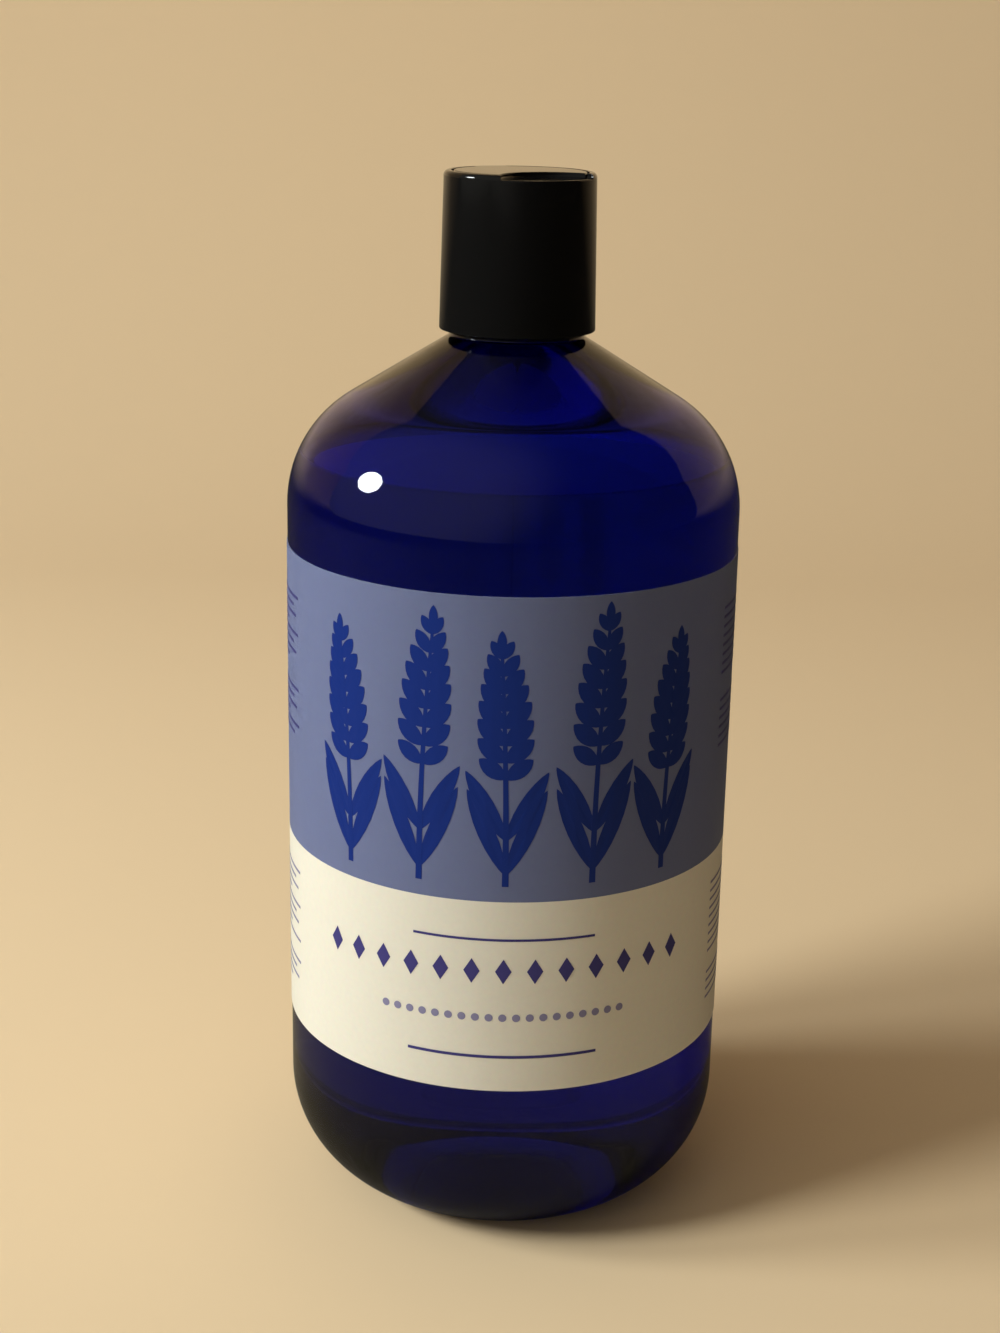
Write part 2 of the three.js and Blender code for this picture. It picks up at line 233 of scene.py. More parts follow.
# Derived places in the cap's own frame, whose origin is at the skirt's foot
CAP_BORE = THREAD_RADIUS + THREAD_CLEARANCE
CAP_RADIUS = CAP_BORE + CAP_WALL
CAP_TOP_RADIUS = CAP_RADIUS - CAP_DRAFT
DECK_LOW = FINISH_HEIGHT - SKIRT_GAP + SEAL_THICKNESS + 2 * SEAT_GAP
DECK_HIGH = DECK_LOW + DECK_THICKNESS
CAP_HEIGHT = DECK_HIGH + CHAMBER_DEPTH
CAP_THREAD_LOW = DECK_LOW - CAP_THREAD_START - CAP_TURNS * THREAD_PITCH
CHAMBER_RADIUS = CAP_TOP_RADIUS - RIM_WIDTH
DISC_RADIUS = CHAMBER_RADIUS - DISC_GAP
DISC_LOW = CAP_HEIGHT - DISC_THICKNESS
SPOUT_LOW = DISC_LOW - SPOUT_HEIGHT - SPOUT_WALL
ORIFICE_TOP = SPOUT_LOW - MECHANISM_GAP
PIVOT_HEIGHT = CAP_HEIGHT - PIVOT_DROP
PIVOT_END = CHAMBER_RADIUS + TRUNNION_REACH
PLUG_RADIUS = ORIFICE_RADIUS + PLUG_LAP
PLUG_TIP = ORIFICE_RADIUS - PLUG_EASE
HOOD_RADIUS = PLUG_RADIUS + HOOD_ROOM
STOP_OUTER = DISC_RADIUS - STOP_INSET
THUMB_FLOOR = CAP_HEIGHT - THUMB_DEPTH

# Fineness
BODY_FACETS = 192
CAP_FACETS = 128
BAR_FACETS = 64
PIVOT_FACETS = 40
STOP_FACETS = 96
POCKET_FACETS = 160
ARC_STEP = math.radians(3.5)
ARC_LEAST = 4
CORNER_STEPS = 5
CORNER_SHARE = 0.45  # the most of a side that one rounded corner takes
THREAD_ROW = 0.22  # height of the mesh rows that carry a thread
SAME_RADIUS = 0.01
WELD = 2e-6  # metres within which points are one
SHARP_ANGLE = math.radians(35)
FLAT_WEIGHT = 80  # how much large faces count in the shading of their edges

# Colours
PERIWINKLE = (0.135, 0.16, 0.29, 1.0)
CREAM = (0.86, 0.81, 0.66, 1.0)
COBALT_INK = (0.004, 0.021, 0.165, 1.0)
INDIGO_INK = (0.045, 0.04, 0.17, 1.0)
GREY_INK = (0.2, 0.19, 0.31, 1.0)
COBALT_TINT = (0.75, 0.8, 1.0, 1.0)
COBALT_DEPTH = (0.0, 0.28, 0.935, 1.0)  # what the plastic lets pass
COBALT_DENSITY = 3400.0
CLEAR_TINT = (0.96, 0.97, 0.93, 1.0)
BACK_WHITE = (0.8, 0.8, 0.78, 1.0)
BLACK = (0.004, 0.004, 0.004, 1.0)
FOAM_WHITE = (0.82, 0.81, 0.76, 1.0)

# Finishes
FILM_GLOW = {"Subsurface_Weight": 0.6, "Subsurface_Radius": (1.0, 1.0, 1.0), "Subsurface_Scale": 0.0012}
PRINT_GRAIN = {"scale": 900.0, "strength": 0.06, "depth": 0.0001}
PRINT_SCREEN = 0.08  # how much of the grain shows in the label's colour
BLACK_GLOSS = (0.045, 0.1)  # least and most roughness
SKIN_DETAIL = 2.0

# Studio, in metres
PAPER = (0.82, 0.62, 0.385, 1.0)
# Painted shade of the floor, which the object mirrors and sees through itself in place of the plain paper:
# distance from the axis, and colour
MIRRORED_FLOOR_SHADE = (
    (0.03, (0.12, 0.1, 0.07, 1.0)),
    (0.07, (0.2, 0.165, 0.11, 1.0)),
    (0.16, (0.2, 0.165, 0.11, 1.0)),
    (0.3, (0.04, 0.035, 0.03, 1.0)),
)
FLOOR_REACH = 0.4  # distance that those are shares of in the ramp
FLOOR_HEIGHTS = (0.2, 0.05)  # between which the backdrop turns into floor
THROUGH_SHARE = 0.95  # how much of that painted shade the floor has when it is seen through the bottle
HORIZON = (0.56, 0.44, 0.28, 1.0)  # what the camera sees past the paper
HORIZON_FADE = (0.68, 1.25)  # distances from the axis between which the paper fades into it
HORIZON_BEHIND = 0.55  # distances behind the object count for less, so that the backdrop stays paper
SKY = (1.0, 0.94, 0.84, 1.0)
GLOW_FROM = (-0.72, -0.45, 0.53)
GLOW_FACING = (0.2, 1.0)
GLOW_STRENGTH = (0.05, 0.58)
GLOW_HIDDEN = 0.65  # share of the glow that mirror reflections lack
SWEEP_FRONT = -4.0
SWEEP_HALF_WIDTH = 4.0
SWEEP_BEND = 0.5  # where the floor starts to rise, and the radius of the bend
SWEEP_TURNS = 15
SWEEP_TOP = 1.8
LAMP_COLOUR = (0.94, 1.0, 1.0)
LAMP_SPREAD = math.radians(120)
LAMP_AIM = (0.1, 0.2, 0.1)


class Nodes:
    """The nodes of one tree, each made in one call that sets its sockets or links them."""

    def __init__(self, tree):
        self.tree = tree

    def fill(self, node, sockets):
        for key, value in sockets.items():
            if isinstance(value, bpy.types.NodeSocket):
                self.tree.links.new(value, node.inputs[key])
            else:
                node.inputs[key].default_value = value

    def node(self, kind, sockets, output=0, **settings):
        made = self.tree.nodes.new(kind)
        for setting, value in settings.items():
            setattr(made, setting, value)
        self.fill(made, sockets)
        return made.outputs[output]

    def math(self, operation, *values):
        return self.node("ShaderNodeMath", dict(enumerate(values)), operation=operation)

    def product(self, *values):
        result = values[0]
        for value in values[1:]:
            result = self.math("MULTIPLY", result, value)
        return result

    def vector(self, x=0.0, y=0.0, z=0.0):
        return self.node("ShaderNodeCombineXYZ", {0: x, 1: y, 2: z})

    def part(self, vector, axis):
        return self.node("ShaderNodeSeparateXYZ", {0: vector}, "XYZ".index(axis))

    def length(self, vector):
        return self.node("ShaderNodeVectorMath", {0: vector}, "Value", operation="LENGTH")

    def mapped(self, value, given=(0.0, 1.0), wanted=(0.0, 1.0), curve="LINEAR"):
        labels = ("Value", "From Min", "From Max", "To Min", "To Max")
        sockets = dict(zip(labels, (value, *given, *wanted)))
        return self.node("ShaderNodeMapRange", sockets, "Result", interpolation_type=curve)

    def mix(self, share, first, second, blend="MIX"):
        sockets = {"Factor": share, "A": first, "B": second}
        return self.node("ShaderNodeMix", sockets, "Result", data_type="RGBA", blend_type=blend)

    def here(self):
        return self.node("ShaderNodeTexCoord", {}, "Object")

    def ray(self, kind):
        """1 for a ray of that kind, such as Camera, and 0 for any other."""
        return self.node("ShaderNodeLightPath", {}, f"Is {kind} Ray")


class Recipe(Nodes):
    """A Geometry Nodes tree in the making, from its named inputs to its one output."""

    def __init__(self, name, **inputs):
        super().__init__(bpy.data.node_groups.new(name, "GeometryNodeTree"))
        face = self.tree.interface
        face.new_socket("Geometry", in_out="INPUT", socket_type="NodeSocketGeometry")
        for label, kind in inputs.items():
            face.new_socket(label, in_out="INPUT", socket_type="NodeSocket" + kind)
        face.new_socket("Geometry", in_out="OUTPUT", socket_type="NodeSocketGeometry")
        self.given = self.tree.nodes.new("NodeGroupInput").outputs

    def own(self, name):
        """A number that each point of the base mesh carries."""
        return self.node("GeometryNodeInputNamedAttribute", {"Name": name}, data_type="FLOAT")

    def spot(self):
        return self.node("GeometryNodeInputPosition", {})

    def clamped(self, value):
        return self.node("ShaderNodeClamp", {"Value": value})

    def put(self, geometry, position):
        return self.node("GeometryNodeSetPosition", {"Geometry": geometry, "Position": position})

    def join(self, *geometries):
        made = self.tree.nodes.new("GeometryNodeJoinGeometry")
        for geometry in geometries:
            self.tree.links.new(geometry, made.inputs[0])
        return made.outputs[0]

    def weld(self, geometry):
        return self.node("GeometryNodeMergeByDistance", {"Geometry": geometry, "Distance": WELD})

    def real(self, geometry):
        return self.node("GeometryNodeRealizeInstances", {"Geometry": geometry})

    def end(self, geometry):
        sockets = {"Geometry": self.real(geometry), "Material": self.given["Material"]}
        dressed = self.node("GeometryNodeSetMaterial", sockets)
        self.tree.links.new(dressed, self.tree.nodes.new("NodeGroupOutput").inputs[0])
        return self.tree


def placed(name, data):
    """A new object in the scene."""
    made = bpy.data.objects.new(name, data)
    bpy.context.collection.objects.link(made)
    return made


def mesh_piece(name, shape):
    """A new mesh object of a bmesh, which is used up."""
    mesh = bpy.data.meshes.new(name)
    shape.to_mesh(mesh)
    shape.free()
    return placed(name, mesh)


def settle(piece):
    """Turns the piece's modifiers into plain mesh."""
    graph = bpy.context.evaluated_depsgraph_get()
    mesh = bpy.data.meshes.new_from_object(piece.evaluated_get(graph))
    piece.modifiers.clear()
    piece.data = mesh
    mesh.name = piece.name
    return piece


def grow(name, tree, base, **values):
    """Runs a tree on a base mesh and returns its result as a plain mesh object."""
    seed = placed(name, base)
    modifier = seed.modifiers.new(tree.name, "NODES")
    modifier.node_group = tree
    for item in tree.interface.items_tree:
        if item.in_out == "INPUT" and item.name in values:
            modifier[item.identifier] = values[item.name]
    return settle(seed)


def soften(piece):
    """Smooth shading, but for sharp edges."""
    piece.data.shade_smooth()
    piece.data.set_sharp_from_angle(angle=SHARP_ANGLE)


def arc(centre, radius, start, stop):
    """Points of radius and height along an arc, its ends included."""
    steps = max(ARC_LEAST, math.ceil(abs(stop - start) / ARC_STEP))
    return [
        (centre[0] + radius * math.cos(a), centre[1] + radius * math.sin(a))
        for a in (start + (stop - start) * i / steps for i in range(steps + 1))
    ]


def top_round(radius, edge):
    """The rounded edge of a round shape as high as the cap."""
    return arc((radius - edge, CAP_HEIGHT - edge), edge, 0, math.pi / 2)


def rounded(points, radius):
    """An outline with each of its inner corners rounded, as far as the sides beside it allow."""
    result = [points[0]]
    for before, corner, after in zip(points, points[1:], points[2:]):
        here = Vector(corner)
        back = Vector(before) - here
        ahead = Vector(after) - here
        turn = back.angle(ahead)
        room = CORNER_SHARE * min(back.length, ahead.length)
        cut_length = min(radius / math.tan(turn / 2), room)
        start = here + back.normalized() * cut_length
        stop = here + ahead.normalized() * cut_length
        for i in range(CORNER_STEPS + 1):
            t = i / CORNER_STEPS
            result.append(tuple(start.lerp(here, t).lerp(here.lerp(stop, t), t)))
    result.append(points[-1])
    return result


def straight(low, high, row_height):
    """Points along a line, no further apart than a row's height."""
    start = Vector(low)
    stop = Vector(high)
    steps = max(1, math.ceil((stop - start).length / row_height))
    return [tuple(start.lerp(stop, i / steps)) for i in range(steps + 1)]


def ring_section(inner, outer, low, high, edge):
    """Closed section of a ring with rounded edges."""
    middle = (inner + outer) / 2
    corners = [(outer, low), (outer, high), (inner, high), (inner, low)]
    return rounded([(middle, low), *corners, (middle, low)], edge)


def profile_mesh(name, points, threaded=None, side=0):
    """A line of points of radius and height. Those in the threaded span of heights carry a ridge's side."""
    mesh = bpy.data.meshes.new(name)
    edges = [(i, i + 1) for i in range(len(points) - 1)]
    mesh.from_pydata([(r * MM, 0.0, z * MM) for r, z in points], edges, [])
    mark = mesh.attributes.new("thread_side", "FLOAT", "POINT")
    for i, (r, z) in enumerate(points):
        inside = threaded and abs(r - threaded[0]) < SAME_RADIUS and threaded[1] <= z <= threaded[2]
        mark.data[i].value = side if inside else 0.0
    return mesh


def turning_tree():
    """Turns a profile about Z and raises a screw thread where the profile asks for one."""
    sizes = ("Pitch", "Depth", "Base", "Tip", "Low", "Turns", "Fade", "Start")
    tree = Recipe("Turn profile", Facets="Int", **dict.fromkeys(sizes, "Float"), Material="Material")
    profile, facets = tree.given["Geometry"], tree.given["Facets"]
    pitch, depth, base, tip, low, turns, fade, start = (tree.given[name] for name in sizes)

    # A grid with a column for each facet, each of its points with the profile's point of its row
    count = tree.node("GeometryNodeAttributeDomainSize", {"Geometry": profile})
    columns = tree.math("ADD", facets, 1.0)
    grid = tree.node("GeometryNodeMeshGrid", {"Vertices X": columns, "Vertices Y": count})
    index = tree.node("GeometryNodeInputIndex", {})
    column = tree.math("FLOOR", tree.math("DIVIDE", tree.math("ADD", index, 0.5), count))
    grid_row = tree.math("SUBTRACT", index, tree.product(column, count))
    around = tree.math("DIVIDE", column, facets)

    def sampled(value, kind):
        sockets = {"Geometry": profile, "Value": value, "Index": grid_row}
        return tree.node("GeometryNodeSampleIndex", sockets, data_type=kind)

    point = sampled(tree.spot(), "FLOAT_VECTOR")
    side = sampled(tree.own("thread_side"), "FLOAT")
    height = tree.part(point, "Z")

    # The ridge: how far a point lies from the screw line's nearest turn, and from its ends
    climb = tree.math("DIVIDE", tree.math("SUBTRACT", height, low), pitch)
    lap = tree.math("ROUND", tree.math("SUBTRACT", climb, around))
    wound = tree.math("ADD", around, lap)
    away = tree.math("ABSOLUTE", tree.product(tree.math("SUBTRACT", climb, wound), pitch))
    slack = tree.math("SUBTRACT", tree.product(base, 0.5), away)
    flank = tree.product(tree.math("SUBTRACT", base, tip), 0.5)
    ridge = tree.clamped(tree.math("DIVIDE", slack, flank))
    to_end = tree.math("MINIMUM", wound, tree.math("SUBTRACT", turns, wound))
    rise = tree.clamped(tree.math("DIVIDE", to_end, fade))
    stand = tree.product(tree.product(ridge, rise), tree.product(side, depth))

    radius = tree.math("ADD", tree.part(point, "X"), stand)
    angle = tree.math("ADD", tree.product(around, 2 * math.pi), start)
    turned_x = tree.product(radius, tree.math("COSINE", angle))
    turned_y = tree.product(radius, tree.math("SINE", angle))
    skin = tree.put(grid, tree.vector(turned_x, turned_y, height))
    return tree.end(tree.node("GeometryNodeSetShadeSmooth", {"Geometry": tree.weld(skin)}))


TURNING = turning_tree()


def turned(
    name, points, material=None, facets=BODY_FACETS, threaded=None, side=0, low=0.0, turns=0.0, start=0.0
):
    """A piece turned from its profile. If it is threaded, low, turns and start say where the ridge runs."""
    return grow(
        name,
        TURNING,
        profile_mesh(name, points, threaded, side),
        Facets=facets,
        Pitch=THREAD_PITCH * MM,
        Depth=THREAD_DEPTH * MM,
        Base=THREAD_BASE * MM,
        Tip=THREAD_TIP * MM,
        Low=low * MM,
        Turns=turns,
        Fade=THREAD_FADE,
        Start=start,
        Material=material,
    )


def shader(name, **sockets):
    """A Principled material with constant values on its sockets, its nodes, and its Principled node."""
    material = bpy.data.materials.new(name)
    material.use_nodes = True
    nodes = Nodes(material.node_tree)
    principled = nodes.tree.nodes["Principled BSDF"]
    nodes.fill(principled, {label.replace("_", " "): value for label, value in sockets.items()})
    return material, nodes, principled


def wavy_skin(nodes, principled, scale, strength, depth):
    """A faint uneven surface, as moulded plastic and film have. Returns its waves' grey."""
    sockets = {"Vector": nodes.here(), "Scale": scale, "Detail": SKIN_DETAIL}
    waves = nodes.node("ShaderNodeTexNoise", sockets, "Fac")
    bump = nodes.node("ShaderNodeBump", {"Strength": strength, "Distance": depth, "Height": waves}, "Normal")
    nodes.fill(principled, {"Normal": bump})
    return waves


def cobalt_plastic():
    """See-through plastic whose blue grows with the way that light goes in it."""
    material, nodes, principled = shader(
        "cobalt_plastic", Base_Color=COBALT_TINT, Roughness=0.03, IOR=1.57, Transmission_Weight=1.0
    )
    wavy_skin(nodes, principled, scale=45.0, strength=0.07, depth=0.0004)
    sockets = {"Color": COBALT_DEPTH, "Density": COBALT_DENSITY}
    absorption = nodes.node("ShaderNodeVolumeAbsorption", sockets)
    nodes.fill(nodes.tree.nodes["Material Output"], {"Volume": absorption})
    return material


def clear_soap():
    """Clear liquid, smooth as its own surface is."""
    return shader("clear_soap", Base_Color=CLEAR_TINT, Roughness=0.0, IOR=1.36, Transmission_Weight=1.0)[0]


def label_film():
    """Satin film, of one colour below the label's division and another above it."""
    material, nodes, principled = shader(
        "label_film",
        Roughness=0.42,
        Specular_IOR_Level=0.25,
        Coat_Weight=0.06,
        Coat_Roughness=0.25,
        **FILM_GLOW,
    )
    grain = wavy_skin(nodes, principled, **PRINT_GRAIN)
    upper = nodes.math("GREATER_THAN", nodes.part(nodes.here(), "Z"), LABEL_DIVISION * MM)
    field = nodes.mix(upper, CREAM, PERIWINKLE)
    screened = nodes.mix(PRINT_SCREEN, field, grain.node.outputs["Color"], "MULTIPLY")
    nodes.fill(principled, {"Base Color": screened})
    return material


def film_back():
    """The film's unprinted side."""
    material, nodes, principled = shader("film_back", Base_Color=BACK_WHITE, Roughness=0.6, **FILM_GLOW)
    wavy_skin(nodes, principled, scale=600.0, strength=0.05, depth=0.0001)
    return material


def ink(name, colour):
    """Print on the film, with the film's grain."""
    material, nodes, principled = shader(name, Base_Color=colour, Roughness=0.4, Specular_IOR_Level=0.2)
    wavy_skin(nodes, principled, **PRINT_GRAIN)
    return material


def black_plastic():
    """Glossy moulded plastic, a little more and less so from place to place."""
    material, nodes, principled = shader("black_plastic", Base_Color=BLACK, IOR=1.5)
    waves = wavy_skin(nodes, principled, scale=220.0, strength=0.03, depth=0.0001)
    nodes.fill(principled, {"Roughness": nodes.mapped(waves, wanted=BLACK_GLOSS)})
    return material


def seal_foam():
    """Matte foam with fine cells."""
    material, nodes, principled = shader("seal_foam", Base_Color=FOAM_WHITE, Roughness=0.8)
    wavy_skin(nodes, principled, scale=2500.0, strength=0.4, depth=0.0002)
    return material


def skin_points(inset, lift=0.0, swell=0.0):
    """Half profile of the skin from axis to shoulder, set in and with its base lifted and swelled."""
    rise = PUSH_UP + swell
    radius = HEEL_RADIUS - inset
    heel_height = HEEL_TOP + lift
    floor = heel_height - math.sqrt(radius**2 - STAND_REACH**2)
    dome_radius = (STAND_INNER**2 + rise**2) / (2 * rise)
    dome_centre = floor + rise - dome_radius
    dome_edge = math.atan2(floor - dome_centre, STAND_INNER)
    heel_foot = math.atan2(floor - heel_height, STAND_REACH)
    return (
        arc((0, dome_centre), dome_radius, math.pi / 2, dome_edge)
        + arc((HEEL_CENTRE, heel_height), radius, heel_foot, 0)
        + arc((SHOULDER_CENTRE, BODY_TOP), SHOULDER_RADIUS - inset, 0, CONE_START)
    )


def inner_bore_foot():
    """Height at which the inside of the cone, at the wall's own thickness, runs into the bore."""
    reach = SHOULDER_RADIUS - WALL
    foot_r = SHOULDER_CENTRE + reach * math.cos(CONE_START)
    foot_z = BODY_TOP + reach * math.sin(CONE_START)
    return foot_z + (foot_r - BORE_RADIUS) * math.tan(SHOULDER_SLOPE)


def bottle_piece(material):
    """Shell turned from one outline, from the moulding nub under the base round the lip to the inside."""
    outer = skin_points(0)
    gate = PUSH_UP - GATE_HEIGHT
    nub = rounded([(0, gate), (GATE_RADIUS, gate), (GATE_RADIUS, PUSH_UP - GATE_SINK), outer[1]], GATE_ROUND)
    fillet_rise = NECK_FILLET * (1 - math.sin(SHOULDER_SLOPE)) / math.cos(SHOULDER_SLOPE)
    fillet_centre = (NECK_RADIUS + NECK_FILLET, NECK_FOOT + fillet_rise)
    fillet = arc(fillet_centre, NECK_FILLET, 1.5 * math.pi - SHOULDER_SLOPE, math.pi)
    band_top = NECK_FOOT + BAND_HEIGHT
    band_end = band_top + BAND_STEP
    rows_foot = band_end + BAND_ROOM
    band_corners = [(NECK_RADIUS, band_top), (ROOT_RADIUS, band_end), (ROOT_RADIUS, rows_foot)]
    band = rounded([fillet[-1], *band_corners], BAND_ROUND)
    finish = straight((ROOT_RADIUS, rows_foot), (ROOT_RADIUS, LIP - 2 * LIP_ROUND), THREAD_ROW)
    lip_corners = [(ROOT_RADIUS, LIP), (BORE_RADIUS, LIP), (BORE_RADIUS, LIP - LIP_DEPTH)]
    lip = rounded([finish[-1], *lip_corners], LIP_ROUND)
    inner = skin_points(WALL, BASE_LIFT, BASE_SWELL) + [(BORE_RADIUS, inner_bore_foot() - NECK_ROOT_DROP)]
    return turned(
        "bottle_shell",
        nub + outer[2:] + fillet + band[1:] + finish[1:] + lip[1:] + inner[::-1],
        material,
        threaded=(ROOT_RADIUS, band_end + BAND_ROOM / 2, LIP - LIP_ROUND),
        side=1,
        low=THREAD_LOW,
        turns=THREAD_TURNS,
    )


def soap_piece(material):
    """Soap up to its level, its surface drawn up a little where it wets the wall."""
    inset = WALL - WETTING
    rim_z = LEVEL + MENISCUS_RISE
    rim_r = SHOULDER_CENTRE + math.sqrt((SHOULDER_RADIUS - inset) ** 2 - (rim_z - BODY_TOP) ** 2)
    walls = [p for p in skin_points(inset, BASE_LIFT, BASE_SWELL) if p[1] < rim_z - RIM_ROOM]
    surface = [
        (rim_r - away, LEVEL + MENISCUS_RISE * math.exp(-away / MENISCUS_REACH))
        for away in (MENISCUS_SPAN * (i / MENISCUS_STEPS) ** 2 for i in range(MENISCUS_STEPS + 1))
    ]
    return turned("soap", walls + surface + [(0, LEVEL)], material)


def label_piece(printed, back):
    """Film wrapped round the wall as a grid, its ends butting at the back and its corners round."""
    length = 2 * math.pi * LABEL_OUTER - LABEL_SEAM
    grid = bmesh.new()
    lines = []
    for i in range(LABEL_COLUMNS + 1):
        along = length * (i / LABEL_COLUMNS)
        to_end = min(along, length - along)
        short = LABEL_CORNER - min(to_end, LABEL_CORNER)
        lift = LABEL_CORNER - math.sqrt(LABEL_CORNER**2 - short**2)
        angle = (along - length / 2) / LABEL_OUTER
        line = []
        for j in range(LABEL_ROWS + 1):
            z = LABEL_LOW + lift + (LABEL_HIGH - LABEL_LOW - 2 * lift) * j / LABEL_ROWS
            spot = (LABEL_OUTER * math.sin(angle), -LABEL_OUTER * math.cos(angle), z)
            line.append(grid.verts.new(Vector(spot) * MM))
        lines.append(line)
    for left, right in zip(lines, lines[1:]):
        for j in range(LABEL_ROWS):
            grid.faces.new((left[j], right[j], right[j + 1], left[j + 1]))
    piece = mesh_piece("label_film", grid)
    piece.data.materials.append(printed)
    piece.data.materials.append(back)
    film = piece.modifiers.new("film", "SOLIDIFY")
    film.thickness = (LABEL_THICKNESS + LABEL_GAP + LABEL_BOND) * MM
    film.offset = -1.0
    film.material_offset = 1
    settle(piece)
    soften(piece)
    return piece


def printing_tree():
    """Sets flat shapes on points, joins flat strokes to them and wraps all of it round the label."""
    sizes = dict.fromkeys(("Point", "Radius", "Thickness"), "Float")
    tree = Recipe("Print round label", Corners="Int", **sizes, Material="Material")
    given = tree.given

    # Points that have a size get a shape, a disc drawn in towards pointed ends
    marked = tree.math("GREATER_THAN", tree.own("half_long"), 0.0)
    sockets = {"Geometry": given["Geometry"], "Selection": marked}
    points = tree.node("GeometryNodeSeparateGeometry", sockets, "Selection")
    strokes = points.node.outputs["Inverted"]
    sockets = {"Vertices": given["Corners"], "Radius": 1.0}
    disc = tree.node("GeometryNodeMeshCircle", sockets, fill_type="TRIANGLE_FAN")
    spot = tree.spot()
    across = tree.part(spot, "X")
    slim = tree.product(across, tree.math("POWER", tree.math("ABSOLUTE", across), given["Point"]))
    shapes = tree.node(
        "GeometryNodeInstanceOnPoints",
        {
            "Points": points,
            "Instance": tree.put(disc, tree.vector(slim, tree.part(spot, "Y"), 0.0)),
            "Rotation": tree.vector(0.0, 0.0, tree.own("tilt")),
            "Scale": tree.vector(tree.own("half_wide"), tree.own("half_long"), 1.0),
        },
    )
    flat = tree.join(tree.real(shapes), strokes)

    # Flat print, whose X runs along the label, goes round the bottle and gets its thickness
    radius = given["Radius"]
    place = tree.spot()
    angle = tree.math("DIVIDE", tree.part(place, "X"), radius)
    wrapped_x = tree.product(radius, tree.math("SINE", angle))
    wrapped_y = tree.product(radius, -1.0, tree.math("COSINE", angle))
    wrapped = tree.put(flat, tree.vector(wrapped_x, wrapped_y, tree.part(place, "Y")))
    sockets = {"Mesh": wrapped, "Offset Scale": given["Thickness"], "Individual": False}
    raised = tree.node("GeometryNodeExtrudeMesh", sockets, mode="FACES")
    under = tree.node("GeometryNodeFlipFaces", {"Mesh": wrapped})
    return tree.end(tree.weld(tree.join(raised, under)))


PRINTING = printing_tree()


class Print:
    """Flat print in the making, x along the label from its middle and y up the bottle."""

    def __init__(self):
        self.points = []
        self.faces = []
        self.values = []

    def shape(self, x, y, half_wide, half_long, tilt=0.0):
        self.points.append((x * MM, y * MM, 0.0))
        self.values.append((half_wide * MM, half_long * MM, tilt))

    def stroke(self, path, widths):
        """A ribbon along a path, as wide at each of its points as the list says."""
        first = len(self.points)
        for i, (x, y) in enumerate(path):
            before = Vector(path[max(i - 1, 0)])
            after = Vector(path[min(i + 1, len(path) - 1)])
            side = (after - before).normalized().orthogonal() * widths[i] / 2
            for sign in (1, -1):
                self.points.append(((x + sign * side.x) * MM, (y + sign * side.y) * MM, 0.0))
                self.values.append((0.0, 0.0, 0.0))
        for i in range(len(path) - 1):
            a = first + 2 * i
            self.faces.append((a, a + 1, a + 3, a + 2))

    def made(self, name, material, corners, point):
        mesh = bpy.data.meshes.new(name)
        mesh.from_pydata(self.points, [], self.faces)
        for k, label in enumerate(("half_wide", "half_long", "tilt")):
            mark = mesh.attributes.new(label, "FLOAT", "POINT")
            mark.data.foreach_set("value", [value[k] for value in self.values])
        return grow(
            name,
            PRINTING,
            mesh,
            Corners=corners,
            Point=point,
            Radius=(LABEL_OUTER + PRINT_LIFT) * MM,
            Thickness=PRINT_THICKNESS * MM,
            Material=material,
        )


def sprig(print_, x, foot, height, lean):
    """An upright stem with long leaves at its foot and pairs of buds towards its tip."""

    def along(share):
        return x + lean * share * share, foot + height * share

    def pair(share, spread, hold, half_wide, half_long):
        root_x, root_y = along(share)
        reach = half_long * hold
        for side in (-1, 1):
            angle = math.radians(side * spread)
            middle = (root_x - math.sin(angle) * reach, root_y + math.cos(angle) * reach)
            print_.shape(*middle, half_wide, half_long, angle)

    steps = range(STEM_STEPS + 1)
    widths = [STEM_WIDTH - STEM_TAPER * i / STEM_STEPS for i in steps]
    print_.stroke([along(i / STEM_STEPS) for i in steps], widths)
    for share, half_long, spread in LEAF_PAIRS:
        pair(share, spread, LEAF_HOLD, LEAF_HALF_WIDTH, half_long)
    for k in range(BUD_PAIRS):
        full = math.sin(math.pi * (BUD_WAVE[0] + BUD_WAVE[1] * k / (BUD_PAIRS - 1)))
        half_wide, half_long = (least + more * full for least, more in (BUD_HALF_WIDTH, BUD_HALF_LENGTH))
        share = BUD_FOOT + BUD_SPAN * k / (BUD_PAIRS - 1)
        pair(share, BUD_SPREAD - BUD_CLOSING * k, BUD_HOLD, half_wide, half_long)
    tip_x, tip_y = along(1.0)
    print_.shape(tip_x, tip_y + TIP_RISE, TIP_HALF_WIDTH, TIP_HALF_LENGTH)


def upper_print(material):
    """A row of sprigs on the label's upper field."""
    sprigs = Print()
    for x, height, lean in SPRIGS:
        sprig(sprigs, x, LABEL_DIVISION + SPRIG_FOOT, height, lean)
    return sprigs.made("sprig_print", material, corners=20, point=0.6)


def row(print_, y, length, count, half_wide, half_long):
    """Shapes at even steps along the label."""
    for i in range(count):
        print_.shape((i / (count - 1) - 0.5) * length, y, half_wide, half_long)


def rule(print_, y, length, width, x=0.0):
    """A straight line along the label."""
    path = [(x + (i / RULE_STEPS - 0.5) * length, y) for i in range(RULE_STEPS + 1)]
    print_.stroke(path, [width] * len(path))


def small_print(print_, x, top, lines):
    """A stack of fine rules, ragged at the right."""
    for i in range(lines):
        y = top - SMALL_PRINT_STEP * i
        short = SMALL_PRINT_RAG[i % len(SMALL_PRINT_RAG)] * SMALL_PRINT_LENGTH
        rule(print_, y, SMALL_PRINT_LENGTH - short, SMALL_PRINT_WIDTH, x - short / 2)


